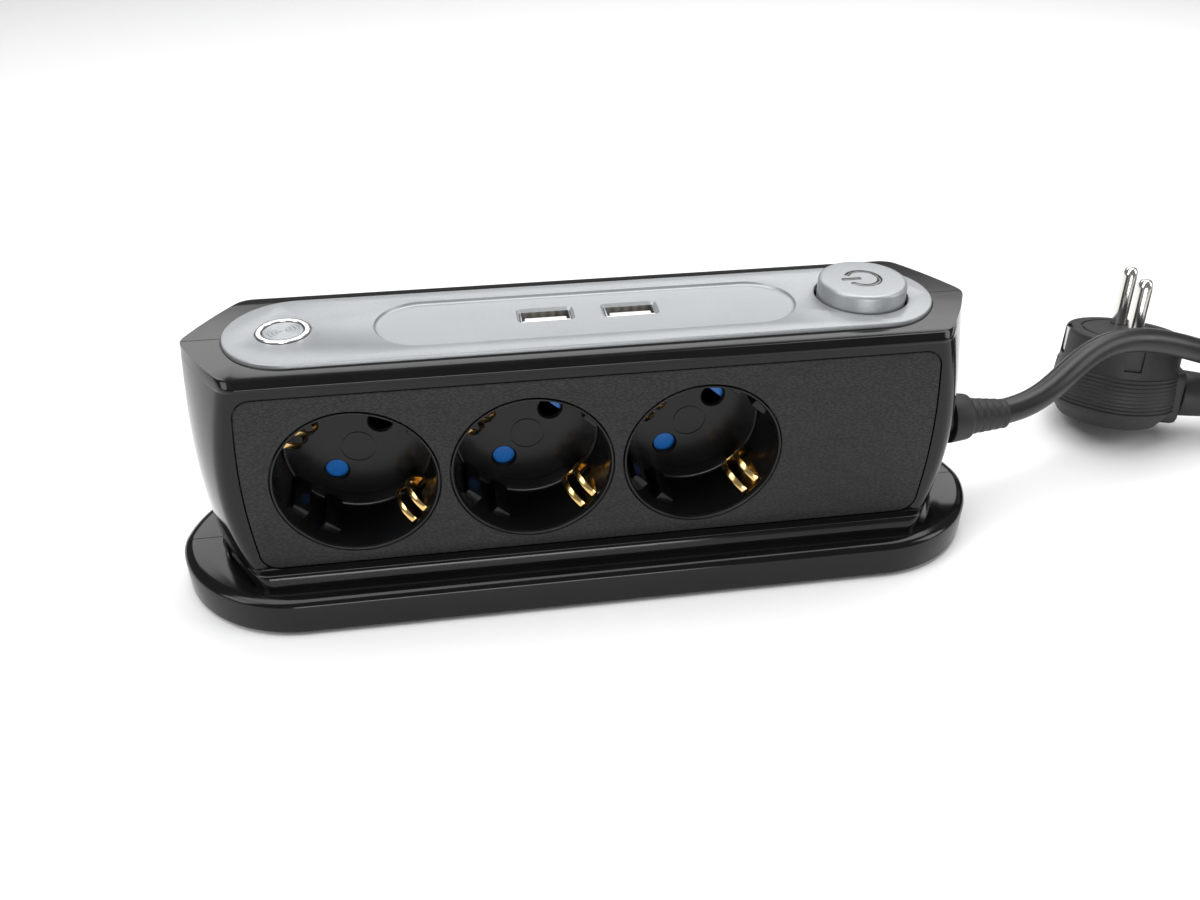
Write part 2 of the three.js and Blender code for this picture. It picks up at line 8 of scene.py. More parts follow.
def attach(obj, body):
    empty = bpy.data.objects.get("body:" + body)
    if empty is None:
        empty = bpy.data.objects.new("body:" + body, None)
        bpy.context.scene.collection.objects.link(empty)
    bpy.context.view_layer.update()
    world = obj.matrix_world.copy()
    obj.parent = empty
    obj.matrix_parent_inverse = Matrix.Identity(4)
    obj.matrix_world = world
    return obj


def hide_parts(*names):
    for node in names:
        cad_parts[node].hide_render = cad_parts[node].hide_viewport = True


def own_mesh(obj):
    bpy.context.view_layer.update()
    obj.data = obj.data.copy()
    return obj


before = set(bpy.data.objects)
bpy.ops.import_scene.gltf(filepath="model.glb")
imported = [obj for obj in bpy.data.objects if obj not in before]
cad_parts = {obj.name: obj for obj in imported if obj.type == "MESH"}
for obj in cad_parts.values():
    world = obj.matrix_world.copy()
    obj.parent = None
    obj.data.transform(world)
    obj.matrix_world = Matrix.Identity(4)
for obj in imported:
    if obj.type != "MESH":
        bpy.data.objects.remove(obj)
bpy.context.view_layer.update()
print("frame loaded:", len(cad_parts), "CAD nodes")

# everything below is drawn in millimetres and brought to metres in settle()
housing = "housing"

# ---- camera
cameraSet = {"place": (-35.8, -245.0, 195.0), "azimuth": -9.01, "elevation": 33.73, "roll": 0.32, "lens": 32.27}


def addCamera():
    azimuth, elevation, roll = (math.radians(cameraSet[k]) for k in ("azimuth", "elevation", "roll"))
    back = Vector((math.sin(azimuth) * math.cos(elevation), -math.cos(azimuth) * math.cos(elevation),
                   math.sin(elevation)))
    right = Vector((0, 0, 1)).cross(back).normalized()
    up = back.cross(right)
    level = right * math.cos(roll) + up * math.sin(roll)
    rise = up * math.cos(roll) - right * math.sin(roll)
    camera = bpy.data.objects.new("camera", bpy.data.cameras.new("camera"))
    camera.data.sensor_width = 36
    camera.data.lens = cameraSet["lens"]
    camera.data.clip_start = 0.01
    turned = Matrix((level, rise, back)).transposed().to_4x4()
    camera.matrix_world = Matrix.Translation(Vector(cameraSet["place"]) * 0.001) @ turned
    bpy.context.scene.collection.objects.link(camera)
    bpy.context.scene.camera = camera


addCamera()


# ---- node trees
class Signal:  # a socket that can be added, multiplied and passed on to further nodes
    def __init__(self, tree, socket=None):
        self.tree, self.socket = tree, socket

    def add(self, kind, settings=None, inputs=None, out=0):
        node = self.tree.nodes.new(kind)
        for key, value in (settings or {}).items():
            if key == "stops":
                ramp = node.color_ramp
                for place, shade in value[2:]:
                    ramp.elements.new(place).color = shade
                for element, (place, shade) in zip((ramp.elements[0], ramp.elements[-1]), value[:2]):
                    element.position, element.color = place, shade
            else:
                setattr(node, key, value)
        for key, value in (inputs or {}).items():
            if isinstance(value, Signal):
                self.tree.links.new(value.socket, node.inputs[key])
            else:
                node.inputs[key].default_value = value
        return Signal(self.tree, node.outputs[out])

    def maths(self, operation, first, second=0.0):
        return self.add("ShaderNodeMath", {"operation": operation}, {0: first, 1: second})

    def __add__(self, other):
        return self.maths("ADD", self, other)

    def __radd__(self, other):
        return self.maths("ADD", other, self)

    def __sub__(self, other):
        return self.maths("SUBTRACT", self, other)

    def __rsub__(self, other):
        return self.maths("SUBTRACT", other, self)

    def __mul__(self, other):
        return self.maths("MULTIPLY", self, other)

    def __rmul__(self, other):
        return self.maths("MULTIPLY", other, self)

    def __truediv__(self, other):
        return self.maths("DIVIDE", self, other)

    def __rtruediv__(self, other):
        return self.maths("DIVIDE", other, self)

    def __pow__(self, other):
        return self.maths("POWER", self, other)

    def tint(self, low, high):  # a colour between two, by this value
        return self.add("ShaderNodeMix", {"data_type": "RGBA"}, {0: self, 6: low, 7: high}, out=2)


# ---- materials
def surfacePlace(start, stretch=(1, 1, 1)):
    place = start.add("ShaderNodeTexCoord", out="Object")
    return start.add("ShaderNodeMapping", None, {"Vector": place, "Scale": stretch})


def speckle(place, scale, detail=2.0, roughness=0.5):
    return place.add("ShaderNodeTexNoise", None,
                     {"Vector": place, "Scale": scale, "Detail": detail, "Roughness": roughness})


def relief(height, depth, strength=1.0):
    return height.add("ShaderNodeBump", None, {"Height": height, "Distance": depth, "Strength": strength})


def makeFinish(name, varying, **steady):
    made = bpy.data.materials.new(name)
    made.use_nodes = True
    tree = made.node_tree
    tree.nodes.clear()
    shader = tree.nodes.new("ShaderNodeBsdfPrincipled")
    end = tree.nodes.new("ShaderNodeOutputMaterial")
    tree.links.new(shader.outputs[0], end.inputs[0])
    for key, value in steady.items():
        shader.inputs[key].default_value = value
    for key, value in varying(Signal(tree)).items():
        tree.links.new(value.socket, shader.inputs[key])
    return made


def grey(level):
    return (level, level, level, 1)


def polishedPlastic(dark, light, shine, ripple=0.00002):
    def varying(start):  # gloss with a faint moulding ripple and a little dust
        place = surfacePlace(start)
        broad = speckle(place, 60, 2)
        dust = speckle(place, 2400, 4, 0.7)
        return {
            "Base Color": broad.tint(dark, light),
            "Roughness": shine + 0.05 * broad + 0.12 * (dust ** 5),
            "Normal": relief(speckle(place, 140, 1), ripple, 0.5),
        }
    return varying


def erodedPlastic(dark, light, rough, grain=900, depth=0.00006):
    def varying(start):  # spark-eroded mould texture
        place = surfacePlace(start)
        fine = speckle(place, grain, 4, 0.65)
        broad = speckle(place, 70, 3)
        return {
            "Base Color": (0.6 * fine + 0.4 * broad).tint(dark, light),
            "Roughness": rough + 0.14 * fine,
            "Normal": relief(fine, depth, 0.7),
        }
    return varying


def leatherGrain(start):  # small pebbled cells with fine creases between them, drawn out along X
    place = surfacePlace(start, (0.4, 1, 1.3))
    drift = speckle(place, 260, 3)
    moved = place.add("ShaderNodeVectorMath", {"operation": "MULTIPLY_ADD"},
                      {0: place.add("ShaderNodeTexNoise", None, {"Vector": place, "Scale": 420.0}, out="Color"),
                       1: (0.0007, 0.0007, 0.0007), 2: place})
    cells = moved.add("ShaderNodeTexVoronoi", {"feature": "SMOOTH_F1"},
                      {"Vector": moved, "Scale": 1550.0, "Smoothness": 0.5})
    crease = moved.add("ShaderNodeTexVoronoi", {"feature": "DISTANCE_TO_EDGE"},
                       {"Vector": moved, "Scale": 1550.0})
    ridge = crease.add("ShaderNodeMapRange", None, {"Value": crease, "From Max": 0.22})
    pores = speckle(place, 3600, 2)
    height = ridge * (1 - 0.45 * cells) + 0.22 * pores + 0.3 * drift
    return {
        # base colour darker along the creases is painted shade; the drift term adds a random tone
        "Base Color": (0.55 * ridge + 0.45 * drift).tint(grey(0.0055), grey(0.021)),
        "Roughness": 0.66 - 0.2 * ridge + 0.12 * pores,
        "Normal": relief(height, 0.00008, 0.8),
    }


def satinSilver(start):
    place = surfacePlace(start)
    mottle = speckle(place, 1500, 3, 0.6)
    broad = speckle(place, 45, 3)
    flake = speckle(place, 5200, 2)
    return {
        "Base Color": (0.5 * mottle + 0.3 * broad + 0.2 * flake).tint((0.27, 0.283, 0.292, 1),
                                                                      (0.44, 0.458, 0.47, 1)),
        "Roughness": 0.34 + 0.12 * mottle + 0.06 * broad,
        "Normal": relief(0.7 * mottle + 0.3 * flake, 0.00003, 0.55),
    }


def brightMetal(dark, light, rough):
    def varying(start):
        place = surfacePlace(start)
        smudge = speckle(place, 120, 4, 0.6)
        scratch = speckle(surfacePlace(start, (1, 9, 1)), 1400, 3, 0.7)
        return {
            "Base Color": smudge.tint(dark, light),
            "Roughness": rough + 0.1 * smudge + 0.08 * (scratch ** 3),
            "Normal": relief(scratch, 0.000006, 0.4),
        }
    return varying


def softRubber(dark, light, rough):
    def varying(start):
        place = surfacePlace(start)
        bloom = speckle(place, 150, 4, 0.6)
        pores = speckle(place, 2600, 3)
        return {
            "Base Color": (0.7 * bloom + 0.3 * pores).tint(dark, light),
            "Roughness": rough + 0.15 * bloom - 0.08 * pores,
            "Normal": relief(pores, 0.00003, 0.6),
        }
    return varying


def paleFloor(start):
    place = surfacePlace(start)
    return {
        "Base Color": speckle(place, 4, 3).tint((0.93, 0.93, 0.935, 1), (0.96, 0.96, 0.96, 1)),
        "Roughness": 0.5 + 0.1 * speckle(place, 900, 2),
    }


finishes = {
    "glossBlack": makeFinish("glossBlack", polishedPlastic(grey(0.0035), grey(0.0065), 0.09), IOR=1.36),
    "cupBlack": makeFinish("cupBlack", polishedPlastic(grey(0.004), grey(0.008), 0.2, 0.00003), IOR=1.36),
    "leatherBlack": makeFinish("leatherBlack", leatherGrain, IOR=1.4),
    "satinSilver": makeFinish("satinSilver", satinSilver, Metallic=0.6),
    "buttonSilver": makeFinish("buttonSilver", satinSilver, Metallic=0.6),
    "chrome": makeFinish("chrome", brightMetal(grey(0.72), grey(0.88), 0.05), Metallic=1.0),
    "darkChrome": makeFinish("darkChrome", brightMetal(grey(0.07), grey(0.16), 0.1), Metallic=1.0),
    "nickel": makeFinish("nickel", brightMetal((0.66, 0.64, 0.6, 1), (0.82, 0.8, 0.76, 1), 0.12), Metallic=1.0),
    "springSteel": makeFinish("springSteel", brightMetal(grey(0.4), grey(0.58), 0.24), Metallic=1.0),
    "goldBrass": makeFinish("goldBrass", brightMetal((0.72, 0.46, 0.16, 1), (0.92, 0.68, 0.3, 1), 0.12),
                            Metallic=1.0),
    "shutterBlue": makeFinish("shutterBlue", erodedPlastic((0.006, 0.1, 0.38, 1), (0.015, 0.18, 0.6, 1),
                                                           0.24, 1400, 0.00002)),
    "coverBlack": makeFinish("coverBlack", erodedPlastic(grey(0.008), grey(0.02), 0.5)),
    "plugBlack": makeFinish("plugBlack", erodedPlastic(grey(0.005), grey(0.013), 0.48, 1500, 0.00004)),
    "cordBlack": makeFinish("cordBlack", softRubber(grey(0.004), grey(0.011), 0.34)),
    "reliefBlack": makeFinish("reliefBlack", softRubber(grey(0.004), grey(0.012), 0.5)),
    "footRubber": makeFinish("footRubber", softRubber(grey(0.02), grey(0.05), 0.7)),
    "ivory": makeFinish("ivory", erodedPlastic((0.55, 0.5, 0.4, 1), (0.68, 0.63, 0.52, 1), 0.45)),
    "tonguePale": makeFinish("tonguePale", erodedPlastic((0.62, 0.62, 0.6, 1), (0.78, 0.78, 0.76, 1),
                                                         0.36, 1200, 0.00002)),
    "boardGreen": makeFinish("boardGreen", erodedPlastic((0.01, 0.08, 0.03, 1), (0.03, 0.16, 0.07, 1), 0.35)),
    "windingAmber": makeFinish("windingAmber", erodedPlastic((0.5, 0.36, 0.06, 1), (0.66, 0.5, 0.12, 1), 0.4)),
    "sleeveBlue": makeFinish("sleeveBlue", erodedPlastic((0.02, 0.04, 0.16, 1), (0.05, 0.08, 0.26, 1), 0.3)),
    "floorPale": makeFinish("floorPale", paleFloor),
}
print("materials made:", len(finishes))


# ---- shapes
def pieceFrom(name, points, faces):
    mesh = bpy.data.meshes.new(name)
    mesh.from_pydata([tuple(p) for p in points], [], faces)
    mesh.validate()
    piece = bpy.data.objects.new(name, mesh)
    bpy.context.scene.collection.objects.link(piece)
    return piece


def outward(piece):
    work = bmesh.new()
    work.from_mesh(piece.data)
    bmesh.ops.remove_doubles(work, verts=work.verts, dist=1e-5)
    bmesh.ops.recalc_face_normals(work, faces=work.faces)
    work.to_mesh(piece.data)
    work.free()
    return piece


def loft(name, rings, loop=False):  # quads between rings of equal count, closed at both ends
    count = len(rings[0])
    points = [p for ring in rings for p in ring]
    faces = []
    last = len(rings) if loop else len(rings) - 1
    for level in range(last):
        a, b = level * count, ((level + 1) % len(rings)) * count
        faces += [(a + i, a + (i + 1) % count, b + (i + 1) % count, b + i) for i in range(count)]
    if not loop:
        faces.append(tuple(reversed(range(count))))
        faces.append(tuple((len(rings) - 1) * count + i for i in range(count)))
    return outward(pieceFrom(name, points, faces))


def circle(radius, steps, x=0.0, y=0.0):
    return [(x + radius * math.cos(2 * math.pi * i / steps), y + radius * math.sin(2 * math.pi * i / steps))
            for i in range(steps)]


def lathe(name, profile, steps=72):  # profile of (radius, height) turned about Z
    points, faces, rows = [], [], []
    for radius, height in profile:
        if radius < 1e-6:
            rows.append([len(points)] * steps)
            points.append((0, 0, height))
        else:
            rows.append([len(points) + i for i in range(steps)])
            points += [(x, y, height) for x, y in circle(radius, steps)]
    closed = profile[0][0] > 1e-6 and profile[-1][0] > 1e-6
    pairs = list(zip(rows, rows[1:])) + ([(rows[-1], rows[0])] if closed else [])
    for low, high in pairs:
        for i in range(steps):
            j = (i + 1) % steps
            face = []
            for corner in (low[i], low[j], high[j], high[i]):
                if corner not in face:
                    face.append(corner)
            if len(face) > 2:
                faces.append(tuple(face))
    return outward(pieceFrom(name, points, faces))


def soften(points, reach, steps=4, closed=False):  # rounds the corners of a path over a distance
    points = [Vector(p) for p in points]
    count = len(points)
    out = []
    for i, p in enumerate(points):
        if not closed and i in (0, count - 1):
            out.append(p)
            continue
        a, b = points[i - 1], points[(i + 1) % count]
        cut = reach[i] if isinstance(reach, (list, tuple)) else reach
        before = p + (a - p).normalized() * min(cut, (a - p).length * 0.45)
        after = p + (b - p).normalized() * min(cut, (b - p).length * 0.45)
        if cut <= 0:
            out.append(p)
            continue
        for k in range(steps + 1):
            t = k / steps
            out.append(before * (1 - t) ** 2 + p * (2 * t * (1 - t)) + after * t ** 2)
    return out


def stadium(halfLength, radius, steps=24):
    points = []
    for side in (1, -1):
        for i in range(steps + 1):
            angle = -side * math.pi / 2 + math.pi * i / steps
            points.append((side * (halfLength - radius) + radius * math.cos(angle), radius * math.sin(angle)))
    return points


def box(x0, x1, y0, y1, z0, z1):
    ring = [(x0, y0), (x1, y0), (x1, y1), (x0, y1)]
    return loft("block", [[(x, y, z) for x, y in ring] for z in (z0, z1)])


def upright(outline, z0, z1, name="upright"):
    return loft(name, [[(x, y, z) for x, y in outline] for z in (z0, z1)])


def facing(outline, y0, y1, name="facing"):  # outline in x and z, thick from y0 to y1
    return loft(name, [[(x, y, z) for x, z in outline] for y in (y0, y1)])


def rod(radius, y0, y1, x, z, steps=48):
    return facing(circle(radius, steps, x, z), y0, y1)


def disc(radius, z0, z1, x=0.0, y=0.0, steps=64):
    return upright(circle(radius, steps, x, y), z0, z1)


def bake(piece):
    bpy.context.view_layer.update()
    made = bpy.data.meshes.new_from_object(piece.evaluated_get(bpy.context.evaluated_depsgraph_get()))
    piece.modifiers.clear()
    piece.data = made
    return piece


def combine(piece, others, operation="DIFFERENCE"):
    for other in others:
        change = piece.modifiers.new("combine", "BOOLEAN")
        change.operation, change.solver, change.object = operation, "EXACT", other
    bake(piece)
    for other in others:
        bpy.data.objects.remove(other)
    return piece


def bevel(piece, width, segments=2, angle=35):
    change = piece.modifiers.new("bevel", "BEVEL")
    change.width, change.segments, change.limit_method = width, segments, "ANGLE"
    change.angle_limit = math.radians(angle)
    return bake(piece)


def moved(piece, matrix):
    piece.data.transform(matrix)
    return piece


def shifted(piece, x=0.0, y=0.0, z=0.0):
    return moved(piece, Matrix.Translation((x, y, z)))


def copied(piece, name):
    twin = bpy.data.objects.new(name, piece.data.copy())
    bpy.context.scene.collection.objects.link(twin)
    return twin


def settle(piece, name, finish, nodes=(), body=housing, angle=32):  # in metres, painted, attached
    piece.name = name
    piece.data.name = name
    piece.data.transform(Matrix.Scale(0.001, 4))
    piece.data.shade_smooth()
    piece.data.set_sharp_from_angle(angle=math.radians(angle))
    piece.data.materials.clear()
    piece.data.materials.append(finishes[finish])
    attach(piece, body)
    if nodes:
        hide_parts(*nodes)
    return piece


def grow(name, sizes, build, finish):  # a piece made by a node tree with named sizes
    tree = bpy.data.node_groups.new(name + "Tree", "GeometryNodeTree")
    tree.interface.new_socket("Geometry", in_out="OUTPUT", socket_type="NodeSocketGeometry")
    keys = {}
    for label, value in sizes.items():
        kind = "NodeSocketInt" if isinstance(value, int) else "NodeSocketFloat"
        keys[label] = tree.interface.new_socket(label, in_out="INPUT", socket_type=kind).identifier
    entry = tree.nodes.new("NodeGroupInput")
    given = {label: Signal(tree, entry.outputs[label]) for label in sizes}
    shape = build(Signal(tree), given)
    real = shape.add("GeometryNodeRealizeInstances", None, {"Geometry": shape})
    painted = real.add("GeometryNodeSetMaterial", None, {"Geometry": real, "Material": finishes[finish]})
    end = tree.nodes.new("NodeGroupOutput")
    tree.links.new(painted.socket, end.inputs[0])
    piece = pieceFrom(name, [], [])
    change = piece.modifiers.new("grow", "NODES")
    change.node_group = tree
    for label, value in sizes.items():
        change[keys[label]] = value
    return bake(piece)


# ---- supply cord
cordSet = {
    "radius": 3.75, "sides": 18, "length": 1.46, "coilMiddle": (301, 3), "enter": 110, "turned": 1685, "step": 5,
    "slots": [(44.75, 3.95), (37.25, 3.95), (37.25, 11.45), (44.75, 11.45), (44.75, 18.95), (37.25, 18.95),
              (44.75, 18.95)],
    "moves": [(240, 105), (540, 65), (800, 103), (1100, 65), (1330, 103), (1565, 103)],  # start and length, degrees
    "rise": (1442, 100, 7.5),
    "lead": [(118, 0, 30.6), (124, 0, 30.65), (130, 0.8, 31.6), (136, 2.9, 33.9), (142, 6.2, 37.2),
             (148.5, 10.2, 40.4), (156.5, 14, 42.8), (166, 16.6, 43.2), (176, 17.6, 41.6), (187, 18.2, 38.4),
             (198, 20, 34), (209, 23.6, 29), (218, 27.8, 24.6), (227, 31.6, 18.4), (238, 34, 11), (250, 35.4, 5.6),
             (262, 37.2, 3.95), (274, 41, 3.95)],
    "plugEnd": [(263.1, -21.8, 26.45), (257.4, -14.4, 25.9), (252.2, -7.5, 24.2), (247.5, -1.4, 21.7),
                (243, 4.5, 18.8), (238.2, 10.2, 16.3), (233.2, 14.9, 14.8), (227, 17.9, 14.42)],
}


def throughPoints(points, spacing):  # a smooth path through the points, evenly stepped
    points = [Vector(p) for p in points]
    ends = [points[0] * 2 - points[1]] + points + [points[-1] * 2 - points[-2]]
    dense = []
    for a, b, c, d in zip(ends, ends[1:], ends[2:], ends[3:]):
        for k in range(24):
            t = k / 24
            dense.append(0.5 * (2 * b + (c - a) * t + (2 * a - 5 * b + 4 * c - d) * t * t
                                + (3 * b - a - 3 * c + d) * t ** 3))
    dense.append(points[-1])
    path, run = [dense[0]], 0.0
    for a, b in zip(dense, dense[1:]):
        run += (b - a).length
        if run >= spacing:
            path.append(b)
            run = 0.0
    path.append(dense[-1])
    return path


def eased(share):
    share = min(max(share, 0), 1)
    return share * share * (3 - 2 * share)


def coilPoint(travelled):  # travelled is the angle wound so far, in degrees
    slots, middle = cordSet["slots"], cordSet["coilMiddle"]
    place = sum(eased((travelled - start) / long) for start, long in cordSet["moves"])
    low = min(int(place), len(slots) - 2)
    r, z = (a + (b - a) * (place - low) for a, b in zip(slots[low], slots[low + 1]))
    start, long, height = cordSet["rise"]
    angle = math.radians(cordSet["enter"] - travelled)
    return Vector((middle[0] + r * math.cos(angle), middle[1] + r * math.sin(angle),
                   z + height * eased((travelled - start) / long)))


def relaxed(path, passes, fade):  # evens out the bends of the two free ends and leaves the coil alone
    count = len(path)
    shares = [eased((fade[0] - i) / 14) + eased((i - count + fade[1]) / 14) for i in range(count)]
    for _ in range(passes):
        path = [path[0]] + [p.lerp((a + b) / 2, 0.5 * share) for a, p, b, share in
                            zip(path, path[1:], path[2:], shares[1:])] + [path[-1]]
    return path


def cordPath():
    steps = int(cordSet["turned"] / cordSet["step"])
    coil = [coilPoint(i * cordSet["step"]) for i in range(steps + 1)]
    return relaxed(throughPoints(cordSet["lead"] + coil + cordSet["plugEnd"], 2.2), 24, (74, 30))


def tube(name, path, radius, sides):
    rings = []
    normal = Vector((0, 0, 1))
    for i, p in enumerate(path):
        ahead = (path[min(i + 1, len(path) - 1)] - path[max(i - 1, 0)]).normalized()
        normal = (normal - ahead * normal.dot(ahead)).normalized()
        across = ahead.cross(normal)
        rings.append([p + normal * u + across * v for u, v in circle(radius, sides)])
    return loft(name, rings)


path = cordPath()
cordLength = sum((b - a).length for a, b in zip(path, path[1:])) * 0.001
print("cord path:", len(path), "points,", round(cordLength, 3), "m")
cordPiece = settle(tube("cord", path, cordSet["radius"], cordSet["sides"]), "supplyCord", "cordBlack",
                   ("supply_cord", "cord_plug_end", "cord_coil"))


def makeTie():  # a narrow band drawn round the turns
    around, thick, wide = -25, 0.55, 7
    spots = []
    for r, z in cordSet["slots"]:
        spots += [(r + 3.9 * math.cos(a * math.pi / 8), z + 3.9 * math.sin(a * math.pi / 8)) for a in range(16)]
    hull = [spots[i] for i in convex_hull_2d([Vector(p) for p in spots])]
    middle = Vector((sum(p[0] for p in hull) / len(hull), sum(p[1] for p in hull) / len(hull)))
    rings = []
    for grow, side in ((0, -0.5), (thick, -0.5), (thick, 0.5), (0, 0.5)):
        ring = []
        for p in hull:
            away = (Vector(p) - middle).normalized() * grow
            r, z = p[0] + away.x, max(p[1] + away.y, 0.03 if grow else 0.12)
            ring.append((r, side * wide, z))
        rings.append(ring)
    band = loft("tie", rings, loop=True)
    turn = Matrix.Translation((*cordSet["coilMiddle"], 0)) @ Matrix.Rotation(math.radians(around), 4, "Z")
    return settle(moved(band, turn), "cordTie", "footRubber")


makeTie()


# ---- strain relief at the housing
def alongX(profile, steps=48):  # profile of (x, radius) turned about the X axis
    made = lathe("alongX", [(r, x) for x, r in profile], steps)
    return moved(made, Matrix.Rotation(math.pi / 2, 4, "Y"))


def makeRelief():
    profile = [(94.2, 0), (94.2, 7.2), (97.4, 7.2), (97.4, 4.9), (104.2, 4.9), (104.2, 7.4), (110.2, 6.6),
               (110.8, 5.2)]
    for i in range(4):  # flexing ribs, each a little smaller
        x, r = 111.4 + i * 2.3, 5.3 - i * 0.24
        profile += [(x, r), (x + 1.3, r - 0.08), (x + 1.45, r - 0.3), (x + 2.15, r - 0.32)]
    profile += [(120.8, 4.35), (121.8, 4.25), (122, 3.9), (122, 0)]
    reach = [0, 0.3, 0.3, 0.1, 0.1, 0.6, 0.8, 0.3] + [0.2] * 16 + [0.2, 0.2, 0.1, 0]
    made = alongX([tuple(p) for p in soften(profile, reach, 3)])
    return settle(shifted(made, 0, 0, 30.6), "strainRelief", "reliefBlack",
                  ("strain_relief",))


makeRelief()

# ---- angled plug lying on its back
plugSet = {"place": (183, 39, 33), "yaw": -21, "roll": 12, "pinSpread": 9.5, "ribs": 10, "ribPitch": 1.25}
plugTurn = (Matrix.Translation(plugSet["place"]) @ Matrix.Rotation(math.radians(plugSet["yaw"]), 4, "Z")
            @ Matrix.Rotation(math.radians(-plugSet["roll"]), 4, "X"))


def makePlug():
    spread = plugSet["pinSpread"]
    profile = [(0, 0), (17.2, 0), (17.9, -0.8), (18.2, -11), (19.2, -18), (19, -24), (15.2, -29.4), (0, -29.4)]
    body = lathe("plugBody", [tuple(p) for p in soften(profile, [0, 0.7, 1.2, 3, 3, 1.2, 1, 0], 6)], 96)
    neck = [(y, z) for y, z in soften([(-8.4, -28), (8.4, -28), (8.4, -10), (-8.4, -10)], 3, 5, closed=True)]
    arm = loft("arm", [[(x, y * k, -19 + (z + 19) * k) for y, z in neck] for x, k in
                       ((4, 1), (18, 1), (19.1, 0.97), (19.6, 0.9))])
    combine(body, [arm], "UNION")
    cuts = []
    for side in (-1, 1):
        cuts.append(disc(2.7, -3, 1, 0, side * spread, 32))
        cuts.append(box(-25 if side < 0 else 16.3, -16.3 if side < 0 else 25, -2.5, 2.5, -9, 2))
        cuts.append(box(-2.6, 2.6, -25 if side < 0 else 17, -17 if side < 0 else 25, -9, 2))
    cuts.append(combine(disc(13.6, -0.5, 1, 0, 0, 64), [disc(12.9, -2, 3, 0, 0, 64)]))
    combine(body, cuts)
    bevel(body, 0.25, 2, 50)
    settle(moved(body, plugTurn), "plugBody", "plugBlack", ("plug_body",))

    def ribs(start, given):  # thin grip rings up the body
        ring = start.add("GeometryNodeCurvePrimitiveCircle", None, {"Resolution": 96, "Radius": given["Radius"]})
        section = start.add("GeometryNodeCurvePrimitiveCircle", None,
                            {"Resolution": 8, "Radius": given["Thickness"]})
        hoop = ring.add("GeometryNodeCurveToMesh", None, {"Curve": ring, "Profile Curve": section})
        offset = start.add("ShaderNodeCombineXYZ", None, {"Z": 0.0 - given["Pitch"]})
        line = start.add("GeometryNodeMeshLine", None, {"Count": given["Count"], "Offset": offset})
        lower = start.add("ShaderNodeCombineXYZ", None, {"Z": 0.0 - given["Top"]})
        set_ = line.add("GeometryNodeTransform", None, {"Geometry": line, "Translation": lower})
        place = set_.add("GeometryNodeInputIndex")
        scale = 1.0 + given["Flare"] * place
        size = scale.add("ShaderNodeCombineXYZ", None, {"X": scale, "Y": scale, "Z": 1.0})
        return set_.add("GeometryNodeInstanceOnPoints", None, {"Points": set_, "Instance": hoop, "Scale": size})

    made = grow("plugRibs", {"Radius": 18.3, "Thickness": 0.42, "Count": plugSet["ribs"],
                             "Pitch": plugSet["ribPitch"], "Top": 11.8, "Flare": 0.0048}, ribs, "plugBlack")
    openings = [box(-25 if side < 0 else 16.3, -16.3 if side < 0 else 25, -2.6, 2.6, -20, 2) for side in (-1, 1)]
    combine(made, openings + [box(-2.7, 2.7, -25, -16, -9, 2), box(-2.7, 2.7, 16, 25, -9, 2),
                              box(4, 25, -8.2, 8.2, -25, -10)])
    plugPieces = [settle(moved(made, plugTurn), "plugRibs", "plugBlack")]

    taper = [(19.9, 0), (19.9, 7.6), (24, 7.4), (50, 5), (53.6, 4.4), (53.6, 0)]
    tail = alongX([tuple(p) for p in soften(taper, [0, 0.8, 2, 3, 0.6, 0], 5)], 64)
    shifted(tail, 0, 0, -19)
    slots = []
    for i in range(5):
        x = 27 + 4.4 * i
        for low, high in ((-12, -3.8 + 0.25 * i), (3.8 - 0.25 * i, 12)):
            slots.append(box(x, x + 1.7, low, high, -22.8 + 0.2 * i, -15.2 - 0.2 * i))
    for i in range(4):
        x = 29.2 + 4.4 * i
        for low, high in ((-30, -22.6 + 0.25 * i), (-15.4 - 0.25 * i, -8)):
            slots.append(box(x, x + 1.7, -3.6, 3.6, low, high))
    combine(tail, slots)
    bevel(tail, 0.22, 2, 50)
    settle(moved(tail, plugTurn), "plugTail", "reliefBlack", ("plug_tail",))
    for side, number in ((-1, 1), (1, 2)):
        pin = lathe("pin", [tuple(p) for p in soften([(0, -2.6), (2.4, -2.6), (2.4, 17.2), (1.5, 19), (0, 19)],
                                                     [0, 0.1, 1.2, 0.9, 0], 6)], 40)
        moved(pin, plugTurn @ Matrix.Translation((0, side * spread, 0)))
        settle(pin, f"plugPin{number}", "nickel", (f"plug_pin_{number}",))
        x = side * 16.7
        strip = box(min(x, x + side * 0.9), max(x, x + side * 0.9), -2, 2, -8.4, -0.6)
        bevel(strip, 0.2, 2)
        settle(moved(strip, plugTurn), f"plugEarth{number}", "springSteel",
               (f"plug_earth_contact_{number}",))
    return plugPieces


makePlug()
[p * 0.001 for p in path]
print("cord and plug made")


# ---- two-part housing
housingSet = {"topZ": 71.2, "faceY": 21.85, "lipY": 23.4, "cornerX": 87.2, "tipX": 101.1, "cornerSwell": 5.4,
              "tipSwell": 2, "skirtTopZ": 11.1, "wall": 2.4, "gap": 0.3, "seam": 0.12}
sockets = [-61.4, -17.4, 26.6]
socketZ = 39.9
socketTurn = math.radians(48)
usbPorts = [-11, 10.9]
usbY = 1.9
buttonX = 72.4
badgeX = -76


def swellAt(z):
    s = housingSet
    drop = (s["topZ"] - z) / (s["topZ"] - s["skirtTopZ"])
    return math.sin(math.pi * 0.92 * min(max(drop, 0), 1.05))


def bend(a, b, c, steps):  # from a to c, pulled towards b
    return [a * (1 - t) ** 2 + b * (2 * t * (1 - t)) + c * t * t for t in (k / steps for k in range(steps + 1))]


